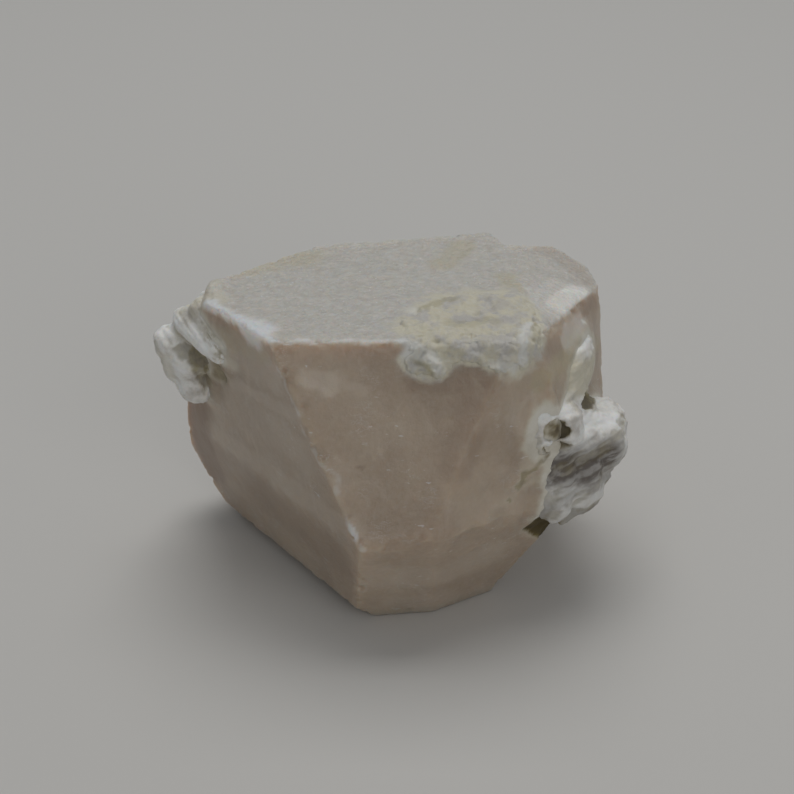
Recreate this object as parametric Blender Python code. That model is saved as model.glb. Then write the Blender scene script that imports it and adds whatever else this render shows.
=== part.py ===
"""Rough topaz: a milky crystal with two lumps of white matrix and a crust on its front ridge.

The stone stands on a small flat spot under its narrow end. +Z is up, -Y faces the
viewer and +X is to the viewer's right. The origin is under the middle of the stone.
"""
import math

import bmesh
import bpy
from mathutils import Euler, Matrix, Vector, noise

MM = 0.001

# Crystal: where its face distances are measured from, and the edge left on its faces.
HEART = Vector((0.0, -0.8, 14.0)) * MM
EDGE_WEAR = 0.30 * MM
BLOCK_SIDE = 80.0 * MM

# The crystal's faces: azimuth (0 looks to the viewer, 90 to the right), lean above the
# horizon, both in degrees, and distance from the heart in millimetres.
CRYSTAL_FACES = {
    "cleaved top": (180, 86, 13.3),
    "top right slope": (115, 79, 15.0),
    "front": (-1, 17, 12.8),
    "left": (-53, -9, 11.4),
    "left end": (-95, 17, 19.2),
    "lower left": (-53, -15, 11.45),
    "lower left end": (-92, -20, 21.1),
    "front foot": (7, -27, 13.7),
    "right foot": (31, -24, 13.4),
    "right front": (30, 3, 13.4),
    "right": (68, 5, 15.4),
    "right end": (100, 2, 19.2),
    "under right": (85, -33, 15.0),
    "flat spot": (0, -90, 14.0),
    "back left": (-136, 19, 17.0),
    "back": (-168, 4, 14.0),
    "back right": (140, -4, 19.2),
    "under back": (165, -40, 15.5),
    "under left": (-53, -50, 15.0),
    "under back left": (-130, -35, 21.5),
    "back corner": (165, 0, 17.5),
    "bright facet": (95, 74, 15.7),
    "right shoulder": (68, 19, 16.95),
    "right rim": (125, 55, 20.6),
}

# Gap between the crystal and each piece of matrix that sits against it.
GAP = 0.30 * MM

# Break that steps the back edge down on the right: corner, turn about Z and size.
BACK_STEP_CORNER = Vector((9.8, 11.2, 24.0)) * MM
BACK_STEP_TURN = 20.0
BACK_STEP_SIZE = 14.0 * MM

# Chips out of the crystal: centre and radius of each scooped hollow, in millimetres.
CHIPS = (
    ((1.2, -10.3, 0.1), 1.3),
    ((-17.6, 8.6, 27.9), 2.2),
)

# Bruised stretch of the front ridge that the crust fills.
RIDGE_SEAT_CENTRE = Vector((6.1, -9.9, 28.0)) * MM
RIDGE_SEAT_LENGTH = 11.4 * MM
RIDGE_SEAT_DEPTH = 1.0 * MM
RIDGE_SEAT_TILT = 42.0
RIDGE_SEAT_BLOCK = 8.0 * MM
CRUST_STAND = 0.45 * MM

# Crust: centre, radii and turn of each swelling, in millimetres and degrees.
CRUST_SWELLINGS = (
    ((2.6, -8.6, 27.3), (2.6, 3.6, 2.2), (0, 0, 10)),
    ((5.4, -6.8, 27.5), (3.4, 4.8, 2.0), (0, 0, -8)),
    ((8.6, -7.4, 27.2), (3.0, 4.6, 2.4), (0, 0, 14)),
    ((6.2, -9.6, 26.6), (4.6, 1.9, 1.5), (0, 0, 2)),
)

# White matrix on the left end: two lobes and the bridge between them.
LEFT_LOBES = (
    ((-17.3, -0.4, 23.7), (2.0, 2.2, 3.1), (0, 12, -20)),
    ((-19.3, 2.2, 20.0), (2.0, 2.3, 3.2), (0, -8, 0)),
    ((-16.6, -0.6, 21.4), (1.7, 1.7, 1.9), (0, 0, 0)),
    ((-17.6, 2.8, 24.2), (1.6, 2.4, 1.8), (0, 0, 0)),
)
LEFT_POCKETS = (
    ((-18.3, -1.4, 21.0), 0.95),
    ((-17.2, -2.9, 20.6), 0.6),
)

# White matrix on the right: lobes from the upper patch down to the hanging end.
RIGHT_LOBES = (
    ((16.0, -2.2, 21.2), (1.6, 2.4, 2.3), (0, 0, -22)),
    ((15.3, -4.2, 18.6), (1.9, 2.2, 2.2), (0, 0, 0)),
    ((17.6, -0.7, 14.7), (3.1, 3.0, 2.2), (0, 8, 0)),
    ((14.5, -6.2, 14.8), (2.2, 2.4, 3.0), (0, 0, 0)),
    ((16.2, -2.6, 11.0), (3.4, 3.2, 3.3), (0, 20, 0)),
    ((13.7, -6.1, 9.5), (2.5, 2.6, 2.7), (0, 0, 0)),
    ((13.3, -7.8, 12.2), (2.2, 2.2, 3.0), (0, 0, 0)),
    ((15.6, -2.2, 8.2), (2.4, 2.6, 2.0), (0, 0, 0)),
    ((15.4, -4.8, 12.2), (2.8, 3.0, 3.2), (0, 0, 0)),
)
RIGHT_POCKETS = (
    ((14.5, -7.6, 17.6), 1.15),
    ((17.4, -3.6, 17.6), 0.95),
    ((12.7, -8.2, 8.0), 1.1),
    ((14.6, -8.2, 15.3), 0.55),
)

# Grain of the matrix: mesh size, height and wavelength of its bumps.
MATRIX_CELL = 0.62 * MM
CRUST_CELL = 0.50 * MM
BUMP_HEIGHT = 0.28 * MM
BUMP_WAVE = 2.2 * MM


def clear_objects():
    """Empty the scene."""
    for old in list(bpy.data.objects):
        bpy.data.objects.remove(old, do_unlink=True)


def make_material(name, colour, roughness):
    """A plain stone finish."""
    material = bpy.data.materials.new(name)
    material.use_nodes = True
    shader = material.node_tree.nodes["Principled BSDF"]
    shader.inputs["Base Color"].default_value = (*colour, 1.0)
    shader.inputs["Roughness"].default_value = roughness
    shader.inputs["Metallic"].default_value = 0.0
    return material


def add_object(name, bm, material=None):
    """Link a finished bmesh to the scene as an object."""
    bmesh.ops.recalc_face_normals(bm, faces=bm.faces)
    mesh = bpy.data.meshes.new(name)
    bm.to_mesh(mesh)
    bm.free()
    piece = bpy.data.objects.new(name, mesh)
    bpy.context.scene.collection.objects.link(piece)
    if material:
        mesh.materials.append(material)
    return piece


def hide_helper(piece):
    """Mark a cutter, which isn't part of the stone."""
    piece.hide_render = True
    piece.display_type = "WIRE"


def bake_modifiers(piece):
    """Replace the piece's mesh by what its modifiers make of it."""
    depsgraph = bpy.context.evaluated_depsgraph_get()
    mesh = bpy.data.meshes.new_from_object(piece.evaluated_get(depsgraph))
    piece.modifiers.clear()
    piece.data = mesh


def combine(piece, tool, operation):
    """Boolean the tool into the piece, then drop the tool."""
    modifier = piece.modifiers.new(operation.lower(), "BOOLEAN")
    modifier.operation = operation
    modifier.object = tool
    bake_modifiers(piece)
    bpy.data.objects.remove(tool, do_unlink=True)


def face_normal(azimuth, lean):
    """Outward direction of a crystal face."""
    turn = math.radians(azimuth)
    rise = math.radians(lean)
    return Vector((
        math.sin(turn) * math.cos(rise),
        -math.cos(turn) * math.cos(rise),
        math.sin(rise),
    ))


def trim(bm, point, normal):
    """Cut away everything beyond a plane and close the cut."""
    geometry = bm.verts[:] + bm.edges[:] + bm.faces[:]
    bmesh.ops.bisect_plane(bm, geom=geometry, plane_co=point, plane_no=normal, clear_outer=True)
    open_edges = [edge for edge in bm.edges if edge.is_boundary]
    if open_edges:
        bmesh.ops.holes_fill(bm, edges=open_edges, sides=0)


def crystal_block(grow=0.0):
    """The crystal's sharp-edged block, with every face moved out by grow."""
    bm = bmesh.new()
    bmesh.ops.create_cube(bm, size=BLOCK_SIDE, matrix=Matrix.Translation(HEART))
    for azimuth, lean, distance in CRYSTAL_FACES.values():
        normal = face_normal(azimuth, lean)
        trim(bm, HEART + normal * (distance * MM + grow), normal)
    bmesh.ops.remove_doubles(bm, verts=bm.verts, dist=0.02 * MM)
    return bm


def ball(centre, radius):
    """A round cutter for a chip or a pocket."""
    bm = bmesh.new()
    place = Matrix.Translation(Vector(centre) * MM)
    bmesh.ops.create_icosphere(bm, subdivisions=2, radius=radius * MM, matrix=place)
    piece = add_object("hollow_cutter", bm)
    hide_helper(piece)
    return piece


def back_step_cutter():
    """The block broken from behind the top right slope."""
    half = BACK_STEP_SIZE / 2
    turn = Matrix.Rotation(math.radians(BACK_STEP_TURN), 4, "Z")
    corner = Matrix.Translation(BACK_STEP_CORNER)
    middle = Matrix.Translation((half, half, half))
    bm = bmesh.new()
    bmesh.ops.create_cube(bm, size=BACK_STEP_SIZE, matrix=corner @ turn @ middle)
    piece = add_object("back_step_cutter", bm)
    hide_helper(piece)
    return piece


def ridge_seat_cutter(inset):
    """The slanted block that takes the bruised stretch off the ridge, drawn in by inset."""
    tilt = Matrix.Rotation(math.radians(RIDGE_SEAT_TILT), 4, "X")
    lift = RIDGE_SEAT_BLOCK / 2 - RIDGE_SEAT_DEPTH + inset
    size = Matrix.Diagonal((RIDGE_SEAT_LENGTH - 2 * inset, RIDGE_SEAT_BLOCK, RIDGE_SEAT_BLOCK, 1.0))
    place = Matrix.Translation(RIDGE_SEAT_CENTRE) @ tilt @ Matrix.Translation((0, 0, lift))
    bm = bmesh.new()
    bmesh.ops.create_cube(bm, size=1.0, matrix=place @ size)
    piece = add_object("ridge_seat_cutter", bm)
    hide_helper(piece)
    return piece


def make_crystal(material):
    """The crystal: flat faces with worn edges, a stepped back and a few chips."""
    bm = crystal_block()
    bmesh.ops.bevel(
        bm, geom=bm.edges[:], offset=EDGE_WEAR, segments=2, profile=0.5,
        affect="EDGES", material=-1, clamp_overlap=True,
    )
    crystal = add_object("topaz_crystal", bm, material)
    combine(crystal, back_step_cutter(), "DIFFERENCE")
    combine(crystal, ridge_seat_cutter(0.0), "DIFFERENCE")
    for centre, radius in CHIPS:
        combine(crystal, ball(centre, radius), "DIFFERENCE")
    return crystal


def make_lump(name, lobes, cell, material):
    """Melt a group of lobes into one lump and give it a knobbly surface."""
    bm = bmesh.new()
    for centre, radii, turn in lobes:
        place = Matrix.Translation(Vector(centre) * MM)
        turned = Euler([math.radians(angle) for angle in turn]).to_matrix().to_4x4()
        size = Matrix.Diagonal((*(Vector(radii) * MM), 1.0))
        bmesh.ops.create_icosphere(bm, subdivisions=3, radius=1.0, matrix=place @ turned @ size)
    lump = add_object(name, bm, material)
    melt = lump.modifiers.new("melt", "REMESH")
    melt.mode = "VOXEL"
    melt.voxel_size = cell
    bake_modifiers(lump)
    for vertex in lump.data.vertices:
        height = noise.fractal(vertex.co / BUMP_WAVE, 0.6, 2.0, 3)
        vertex.co += vertex.normal * (height * BUMP_HEIGHT)
    split = lump.modifiers.new("split", "TRIANGULATE")
    split.quad_method = "SHORTEST_DIAGONAL"
    bake_modifiers(lump)
    return lump


def cut_to_crystal(lump):
    """Cut a lump back from the crystal's faces, leaving the gap."""
    combine(lump, add_object("crystal_cutter", crystal_block(GAP)), "DIFFERENCE")


def make_matrix(name, lobes, pockets, material):
    """A lump of white matrix with its clay pockets hollowed out."""
    lump = make_lump(name, lobes, MATRIX_CELL, material)
    cut_to_crystal(lump)
    for centre, radius in pockets:
        combine(lump, ball(centre, radius), "DIFFERENCE")
    return lump


def make_ridge_crust(material):
    """The thin crust that fills the bruised ridge and laps over it."""
    crust = make_lump("ridge_crust", CRUST_SWELLINGS, CRUST_CELL, material)
    skin = add_object("skin_cutter", crystal_block(GAP + CRUST_STAND))
    combine(crust, skin, "INTERSECT")
    bed = add_object("bed_cutter", crystal_block(GAP))
    combine(bed, ridge_seat_cutter(GAP), "DIFFERENCE")
    combine(crust, bed, "DIFFERENCE")
    return crust


def main():
    """Build the stone."""
    clear_objects()
    topaz = make_material("milky topaz", (0.36, 0.27, 0.20), 0.35)
    white = make_material("white matrix", (0.52, 0.49, 0.43), 0.80)
    yellow = make_material("pale crust", (0.48, 0.44, 0.34), 0.75)
    make_crystal(topaz)
    make_matrix("matrix_left", LEFT_LOBES, LEFT_POCKETS, white)
    make_matrix("matrix_right", RIGHT_LOBES, RIGHT_POCKETS, white)
    make_ridge_crust(yellow)


if __name__ == "__main__":
    main()
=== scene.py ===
"""Rough topaz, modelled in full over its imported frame.

The milky crystal, the white matrix on its two ends and the crust on its front ridge each
stand for the frame node of the same name. +Z is up, -Y faces the viewer and +X is to the
viewer's right, all in metres, with the origin under the middle of the stone.
"""

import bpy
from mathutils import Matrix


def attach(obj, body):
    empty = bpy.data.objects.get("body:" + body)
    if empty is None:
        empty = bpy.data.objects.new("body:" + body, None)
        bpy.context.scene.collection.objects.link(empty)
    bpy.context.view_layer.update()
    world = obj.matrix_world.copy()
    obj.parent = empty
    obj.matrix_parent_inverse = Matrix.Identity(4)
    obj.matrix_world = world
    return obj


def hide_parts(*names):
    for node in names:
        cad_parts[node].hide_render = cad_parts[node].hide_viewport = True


bl_info = {
    "name": "Rough Topaz",
    "version": (1, 0, 0),
    "blender": (4, 5, 0),
    "location": "3D View > Sidebar > Rough Topaz",
    "description": "Models a rough milky topaz with its matrix and its crust",
    "category": "Object",
}

import math

import bmesh
import bpy
import numpy as np
from bpy.props import FloatProperty, FloatVectorProperty, PointerProperty
from mathutils import Euler, Matrix, Vector, noise

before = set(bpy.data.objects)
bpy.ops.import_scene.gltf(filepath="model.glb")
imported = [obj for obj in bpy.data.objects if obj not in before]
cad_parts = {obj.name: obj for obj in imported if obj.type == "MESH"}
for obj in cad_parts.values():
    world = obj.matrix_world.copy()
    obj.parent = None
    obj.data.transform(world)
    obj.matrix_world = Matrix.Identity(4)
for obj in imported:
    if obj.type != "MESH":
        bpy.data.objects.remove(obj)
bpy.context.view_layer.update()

MM = 0.001
BODY = "root"

# The crystal's faces: azimuth (0 looks to the viewer, 90 to the right) and lean above the
# horizon, in degrees, and distance from the heart of the crystal in millimetres.
HEART = np.array((0.0, -0.8, 14.0)) * MM
BLOCK_SIDE = 80.0 * MM
CRYSTAL_FACES = {
    "cleaved top": (180, 86, 13.3),
    "top right slope": (115, 79, 15.0),
    "front": (-1, 17, 12.8),
    "left": (-53, -9, 11.4),
    "left end": (-95, 17, 19.2),
    "lower left": (-53, -15, 11.45),
    "lower left end": (-92, -20, 21.1),
    "front foot": (7, -27, 13.7),
    "right foot": (31, -24, 13.4),
    "right front": (30, 3, 13.4),
    "right": (68, 5, 15.4),
    "right end": (100, 2, 19.2),
    "under right": (85, -33, 15.0),
    "flat spot": (0, -90, 14.0),
    "back left": (-136, 19, 17.0),
    "back": (-168, 4, 14.0),
    "back right": (140, -4, 19.2),
    "under back": (165, -40, 15.5),
    "under left": (-53, -50, 15.0),
    "under back left": (-130, -35, 21.5),
    "back corner": (165, 0, 17.5),
    "bright facet": (95, 74, 15.7),
    "right shoulder": (68, 19, 16.95),
    "right rim": (125, 55, 20.6),
}
TOP_FACES = ("cleaved top", "top right slope", "bright facet")

# Break that steps the back edge down on the right: its corner and size in millimetres, and
# its turn about Z in degrees.
BACK_STEP_CORNER = (9.8, 11.2, 24.0)
BACK_STEP_TURN = 20.0
BACK_STEP_SIZE = 14.0

# Chips out of the crystal: centre and radius of each scooped hollow, in millimetres.
CHIPS = (
    ((1.2, -10.3, 0.1), 1.3),
    ((-17.6, 8.6, 27.9), 2.2),
    ((-15.6, 18.3, 20.6), 9.7),
    ((2.0, 26.3, 2.1), 14.0),
    ((13.6, 26.0, 13.0), 12.0),
)

# Crust: centre, radii and turn of each swelling, in millimetres and degrees.
CRUST_SWELLINGS = (
    ((2.9, -7.2, 27.4), (2.9, 3.8, 3.0), (0, 0, 10)),
    ((5.8, -4.4, 27.3), (4.2, 4.8, 3.0), (0, 0, -8)),
    ((9.2, -5.2, 27.0), (2.7, 5.4, 3.0), (0, 0, 6)),
    ((2.6, -10.6, 26.6), (2.0, 1.6, 1.7), (0, 0, 0)),
    ((5.9, -10.4, 27.2), (2.3, 1.5, 1.2), (0, 0, 0)),
    ((9.2, -9.9, 26.6), (2.3, 1.7, 1.5), (0, 0, 0)),
)
# Thicker places of the crust: centre, radius and height in millimetres.
CRUST_KNOBS = (
    ((2.6, -10.9, 26.0), 1.9, 0.50),
    ((3.4, -8.6, 27.6), 1.6, 0.22),
    ((9.0, -10.2, 26.3), 1.7, 0.45),
    ((9.9, -8.4, 27.4), 1.7, 0.35),
    ((6.2, -10.3, 26.9), 1.6, 0.25),
    ((2.6, -4.2, 27.4), 1.5, 0.20),
    ((8.4, -2.2, 27.3), 1.8, 0.20),
)
# Each lump of matrix: lobes, as for the crust, and strands, each with its start, its end
# and the radius at both, in millimetres.
LEFT_LOBES = (
    ((-18.0, 0.8, 20.7), (2.0, 1.9, 2.6), (0, 0, 0)),
    ((-17.9, 1.2, 18.2), (1.6, 2.0, 2.4), (0, -20, 0)),
    ((-17.2, 0.0, 21.0), (1.6, 1.6, 1.8), (0, 0, 0)),
)
LEFT_STRANDS = (
    ((-17.8, 0.4, 24.2), (-15.2, -2.8, 23.0), 1.65, 1.0),
    ((-16.7, -0.1, 25.6), (-14.3, -3.3, 24.2), 1.2, 0.7),
    ((-17.4, 0.9, 24.6), (-16.0, 1.2, 26.0), 1.1, 1.0),
    ((-19.7, 0.8, 22.2), (-19.4, 1.3, 19.2), 1.5, 1.2),
)
RIGHT_LOBES = (
    ((15.4, -2.4, 20.9), (1.15, 3.9, 2.4), (0, 0, -22)),
    ((14.8, -4.1, 19.8), (1.15, 3.4, 2.0), (0, 0, -22)),
    ((15.8, -0.8, 21.8), (1.00, 2.4, 1.8), (0, 0, -22)),
    ((12.2, -8.9, 18.7), (1.8, 0.75, 2.6), (0, 0, 30)),
    ((16.3, -2.6, 17.7), (1.2, 1.4, 1.2), (0, 0, 0)),
    ((16.6, -1.8, 13.6), (3.7, 3.4, 3.3), (0, 0, 0)),
    ((15.0, -3.8, 10.4), (3.4, 3.1, 2.9), (0, 0, 0)),
    ((14.8, -5.2, 12.6), (3.1, 2.9, 3.6), (0, 0, 0)),
    ((13.2, -7.4, 14.2), (2.2, 2.1, 3.2), (0, 0, 0)),
    ((13.1, -7.6, 11.6), (2.3, 2.1, 2.7), (0, 0, 0)),
    ((13.7, -6.8, 18.2), (2.2, 2.3, 2.5), (0, 0, 0)),
    ((17.6, -0.6, 14.9), (2.8, 2.9, 2.0), (0, 8, 0)),
    ((12.1, -9.0, 18.3), (1.2, 1.1, 1.9), (0, 0, 0)),
)
RIGHT_STRANDS = (
    ((14.6, -4.9, 18.0), (19.1, -0.9, 14.5), 1.3, 1.3),
    ((13.0, -8.2, 15.0), (19.3, -1.5, 12.6), 0.7, 1.2),
    ((13.2, -7.8, 13.2), (18.0, -2.7, 10.6), 0.7, 1.0),
    ((13.2, -8.0, 11.4), (16.4, -3.6, 9.4), 0.8, 1.2),
    ((13.6, -5.8, 8.6), (16.4, -2.8, 9.2), 1.5, 1.7),
    ((15.0, -6.2, 16.0), (18.3, -3.2, 14.6), 1.5, 1.7),
)
# Pits in the right lump and the crystal beside it: centre and radius in millimetres.
RIGHT_PITS = (
    ((13.0, -9.6, 19.1), 0.85),
    ((13.7, -9.1, 18.9), 0.90),
    ((12.9, -7.9, 8.2), 1.00),
    ((13.4, -6.7, 7.4), 0.90),
)
# How many balls make up a strand.
BALLS_A_STRAND = 9

# Hollows in the matrix that hold clay: path, radius and depth in millimetres, and how much
# clay they hold.
LEFT_POCKETS = (
    (((-18.7, -0.9, 22.1), (-17.6, -1.6, 21.8)), 0.9, 0.25, 0.5),
    (((-17.4, -1.6, 21.6), (-16.2, -2.2, 21.1), (-15.7, -1.6, 19.9)), 1.2, 0.55, 0.75),
    (((-17.2, -1.0, 20.8), (-16.8, 0.2, 18.6)), 0.9, 0.25, 0.6),
)
RIGHT_POCKETS = (
    (((13.0, -9.1, 19.1), (13.8, -8.5, 18.8)), 0.95, 0.25, 0.9),
    (((12.6, -9.6, 17.6), (14.3, -8.9, 17.2)), 0.6, 0.45, 0.85),
    (((16.0, -3.9, 18.9), (17.2, -2.4, 18.3)), 0.9, 0.35, 0.85),
    (((12.2, -8.6, 9.0), (12.9, -7.2, 7.9), (13.4, -6.0, 7.1)), 1.5, 0.5, 1.0),
)

# Clay between the fibres of the lumps: mask, strength, radius in millimetres and a path.
STREAK_MARKS = (
    ("clay", 0.70, 1.3, ((-16.6, -0.6, 25.6), (-15.6, -1.9, 24.5), (-14.5, -3.5, 23.2))),
    ("clay", 0.60, 1.6, ((13.6, -8.0, 13.6), (17.0, -4.4, 12.0))),
)

# Which way the fibres of each lump run.
LEFT_FIBRES = (0.60, -0.62, -0.51)
RIGHT_FIBRES = (0.71, 0.70, 0.04)
# How deep each lump roots in the crystal.
ROOT_DEPTH = 1.3 * MM
# Painted shade on the right lump, a mauve-grey darkening under its shoulder: its path and how far it
# reaches, in millimetres.
PAINTED_SHADE_PATH = ((13.4, -9.4, 15.4), (15.8, -8.0, 14.4), (18.4, -4.9, 13.6))
PAINTED_SHADE_REACH = 3.5

# Hollows in the crust: centre, radius and depth in millimetres.
CRUST_HOLLOWS = (
    ((6.2, -5.1, 27.5), 1.6, 0.25),
    ((1.9, -10.6, 26.4), 0.9, 0.35),
)
CRUST_WALL = 0.8 * MM

# Noise on the surfaces: size of its lumps in metres, octaves and seed.
SWELL = (7.0 * MM, 3, 1.0)
ETCH = (1.1 * MM, 4, 2.0)
BITE = (1.5 * MM, 3, 3.0)
LEDGES = (9.0 * MM, 2, 11.0)
PITS = (3.2 * MM, 3, 12.0)
FOLDS = (1.5 * MM, 3, 4.0)
FIBRES = (0.5 * MM, 3, 5.0)
CRUMBS = (0.9 * MM, 4, 8.0)
GRAINS = (0.7 * MM, 4, 6.0)
LUMPS = (1.8 * MM, 3, 9.0)
# What makes outlines ragged: size of the noise, how far it shifts them, and its seed.
CRYSTAL_WARP = (1.6 * MM, 0.40 * MM, 30.0)
MATRIX_WARP = (1.2 * MM, 0.35 * MM, 20.0)
CRUST_WARP = (1.8 * MM, 0.75 * MM, 40.0)

# Heights of the relief, in millimetres.
SWELL_HEIGHT = 0.12
ETCH_HEIGHT = 0.02
FROST_HEIGHT = 0.05
CRUMB_HEIGHT = 0.05
LUMP_HEIGHT = 0.20
RIM_SINK = 0.10

# How far things reach, in metres: nicks from an edge, the swelling and the chalk from a lump,
# and the foot that stays flat from the ground.
NICK_REACH = 0.9 * MM
FILLET_REACH = 1.5 * MM
CHALK_REACH = 0.55 * MM
FOOT_HEIGHT = 1.2 * MM
# Where the broken back starts and where it is in full, measured along Y.
BACK_START = 7.0 * MM
BACK_FULL = 11.0 * MM

# How often each surface is relaxed, and how strongly.
CRYSTAL_RELAX = 36
MATRIX_RELAX = 24
CRUST_RELAX = 3
RELAX_SHARE = 0.5
# How much wider than its radius a mark and a pocket fade out.
MARK_FADE = 1.3
POCKET_FADE = 1.4

# Camera: where it looks, how far off, how high above the horizon, and its lens.
CAMERA_TARGET = (0.0, 0.00175, 0.016)
CAMERA_DISTANCE = 0.177
CAMERA_HEIGHT = 30.0
CAMERA_LENS = 90.0
CAMERA_SENSOR = 36.0
CAMERA_CLIP = 0.01

# Lights: place in metres, side of the square and colour; all look at one point.
LIGHT_AIM = (0.0, 0.0, 0.01)
KEY_LIGHT = ((0.0, 0.12, 0.45), 0.30, (1.0, 0.99, 0.97))
FILL_LIGHT = ((0.14, -0.34, 0.20), 0.25, (1.0, 0.98, 0.95))
SKY_COLOUR = (0.94, 0.97, 1.0, 1.0)
FLOOR_HALF = 1.5


# Numbers on points
def read_points(piece):
    """The piece's vertex positions as an array."""
    points = np.empty(len(piece.data.vertices) * 3)
    piece.data.vertices.foreach_get("co", points)
    return points.reshape(-1, 3)


def read_normals(piece):
    """The piece's vertex normals as an array."""
    normals = np.empty(len(piece.data.vertices) * 3)
    piece.data.vertex_normals.foreach_get("vector", normals)
    return normals.reshape(-1, 3)


def write_points(piece, points):
    """Move the piece's vertices."""
    piece.data.vertices.foreach_set("co", points.reshape(-1))
    piece.data.update()


def store_mask(piece, name, values):
    """Keep a number from 0 to 1 at each vertex for the material to read."""
    layer = piece.data.attributes.new(name, "FLOAT", "POINT")
    layer.data.foreach_set("value", np.clip(values, 0.0, 1.0).astype(np.float32))


def rise(low, high, values):
    """0 up to low, 1 from high on, and smooth between; low may be the larger."""
    share = np.clip((values - low) / (high - low), 0.0, 1.0)
    return share * share * (3.0 - 2.0 * share)


def clouds(points, wave, octaves, seed):
    """Fractal noise at each point, about -1 to 1."""
    shift = Vector((7.3, 3.1, 5.7)) * (seed + 1.0)
    return np.array([
        noise.fractal(Vector(point) / wave + shift, 0.6, 2.0, octaves)
        for point in points
    ])


def warped(points, wave, reach, seed):
    """Points shifted about by noise, which makes outlines drawn on them ragged."""
    shifts = [clouds(points, wave, 3, seed + axis) for axis in range(3)]
    return points + reach * np.stack(shifts, axis=1)


def near_spot(points, centre, radius):
    """1 at a spot given in millimetres, falling to 0 at its radius."""
    away = np.linalg.norm(points - np.array(centre) * MM, axis=1)
    return rise(radius * MM, 0.0, away)


def near_line(points, path, radius):
    """1 along a path of points in millimetres, falling to 0 at the radius."""
    nearest = np.full(len(points), np.inf)
    for start, end in zip(path, path[1:]):
        first = np.array(start) * MM
        along = np.array(end) * MM - first
        share = np.clip((points - first) @ along / (along @ along), 0.0, 1.0)
        away = np.linalg.norm(points - first - share[:, None] * along, axis=1)
        nearest = np.minimum(nearest, away)
    return rise(radius * MM, 0.0, nearest)


# The crystal's block
def face_normal(azimuth, lean):
    """Outward direction of a face."""
    turn = math.radians(azimuth)
    slope = math.radians(lean)
    return np.array((
        math.sin(turn) * math.cos(slope),
        -math.cos(turn) * math.cos(slope),
        math.sin(slope),
    ))


def crystal_planes():
    """Outward normals and offsets of the crystal's faces."""
    normals = np.array([face_normal(azimuth, lean) for azimuth, lean, _ in CRYSTAL_FACES.values()])
    offsets = np.array([away * MM for _, _, away in CRYSTAL_FACES.values()]) + normals @ HEART
    return normals, offsets


def face_depths(points):
    """How deep each point lies behind each face of the crystal."""
    normals, offsets = crystal_planes()
    return offsets - points @ normals.T


def edge_gaps(points):
    """Distance along the surface to the nearest edge of the crystal, and how bent it is there."""
    normals, _ = crystal_planes()
    depths = face_depths(points)
    nearest = depths.argmin(axis=1)
    cosines = (normals @ normals.T)[nearest]
    sines = np.sqrt(np.maximum(1.0 - cosines ** 2, 1e-6))
    gaps = (depths - depths.min(axis=1)[:, None]) / sines
    gaps[np.arange(len(points)), nearest] = np.inf
    other = gaps.argmin(axis=1)
    rows = np.arange(len(points))
    return gaps[rows, other], rise(0.0, 0.5, 1.0 - cosines[rows, other])


def root_back(points, depth):
    """Move points that lie deep in the crystal out to a given depth under its nearest face."""
    normals, _ = crystal_planes()
    depths = face_depths(points)
    nearest = depths.argmin(axis=1)
    spare = np.maximum(depths[np.arange(len(points)), nearest] - depth, 0.0)
    return points + normals[nearest] * spare[:, None]


# Meshes
def link_piece(name, bm):
    """Link a finished bmesh to the scene as a piece."""
    bmesh.ops.recalc_face_normals(bm, faces=bm.faces)
    mesh = bpy.data.meshes.new(name)
    bm.to_mesh(mesh)
    bm.free()
    piece = bpy.data.objects.new(name, mesh)
    bpy.context.scene.collection.objects.link(piece)
    return piece


def apply_modifiers(piece):
    """Replace the piece's mesh by what its modifiers make of it."""
    depsgraph = bpy.context.evaluated_depsgraph_get()
    mesh = bpy.data.meshes.new_from_object(piece.evaluated_get(depsgraph))
    piece.modifiers.clear()
    piece.data = mesh


def remesh(piece, cell):
    """Rebuild the piece from even cells, melting overlapping shapes into one."""
    melt = piece.modifiers.new("melt", "REMESH")
    melt.mode = "VOXEL"
    melt.voxel_size = cell
    apply_modifiers(piece)
    piece.data.shade_smooth()


def soften(piece, repeat, weights=None):
    """Relax the piece's surface, all of it or as strongly as the weights say."""
    relax = piece.modifiers.new("relax", "SMOOTH")
    if weights is not None:
        group = piece.vertex_groups.new(name="relax")
        for place in np.flatnonzero(weights > 0.01):
            group.add([int(place)], float(weights[place]), "REPLACE")
        relax.vertex_group = group.name
    relax.factor = RELAX_SHARE
    relax.iterations = repeat
    apply_modifiers(piece)
    piece.data.shade_smooth()


def cut_with(piece, cutter_mesh):
    """Cut a closed shape out of the piece."""
    cutter = link_piece("cutter", cutter_mesh)
    cut = piece.modifiers.new("cut", "BOOLEAN")
    cut.operation = "DIFFERENCE"
    cut.object = cutter
    apply_modifiers(piece)
    bpy.data.objects.remove(cutter, do_unlink=True)


def crystal_block():
    """The crystal's sharp-edged block."""
    bm = bmesh.new()
    bmesh.ops.create_cube(bm, size=BLOCK_SIDE, matrix=Matrix.Translation(HEART))
    for azimuth, lean, away in CRYSTAL_FACES.values():
        normal = face_normal(azimuth, lean)
        geometry = bm.verts[:] + bm.edges[:] + bm.faces[:]
        bmesh.ops.bisect_plane(
            bm, geom=geometry, plane_co=HEART + normal * away * MM, plane_no=normal, clear_outer=True
        )
        open_edges = [edge for edge in bm.edges if edge.is_boundary]
        if open_edges:
            bmesh.ops.holes_fill(bm, edges=open_edges, sides=0)
    bmesh.ops.remove_doubles(bm, verts=bm.verts, dist=0.02 * MM)
    return bm


def ball(centre, radius):
    """A round cutter."""
    bm = bmesh.new()
    place = Matrix.Translation(Vector(centre) * MM)
    bmesh.ops.create_icosphere(bm, subdivisions=3, radius=radius * MM, matrix=place)
    return bm


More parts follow.
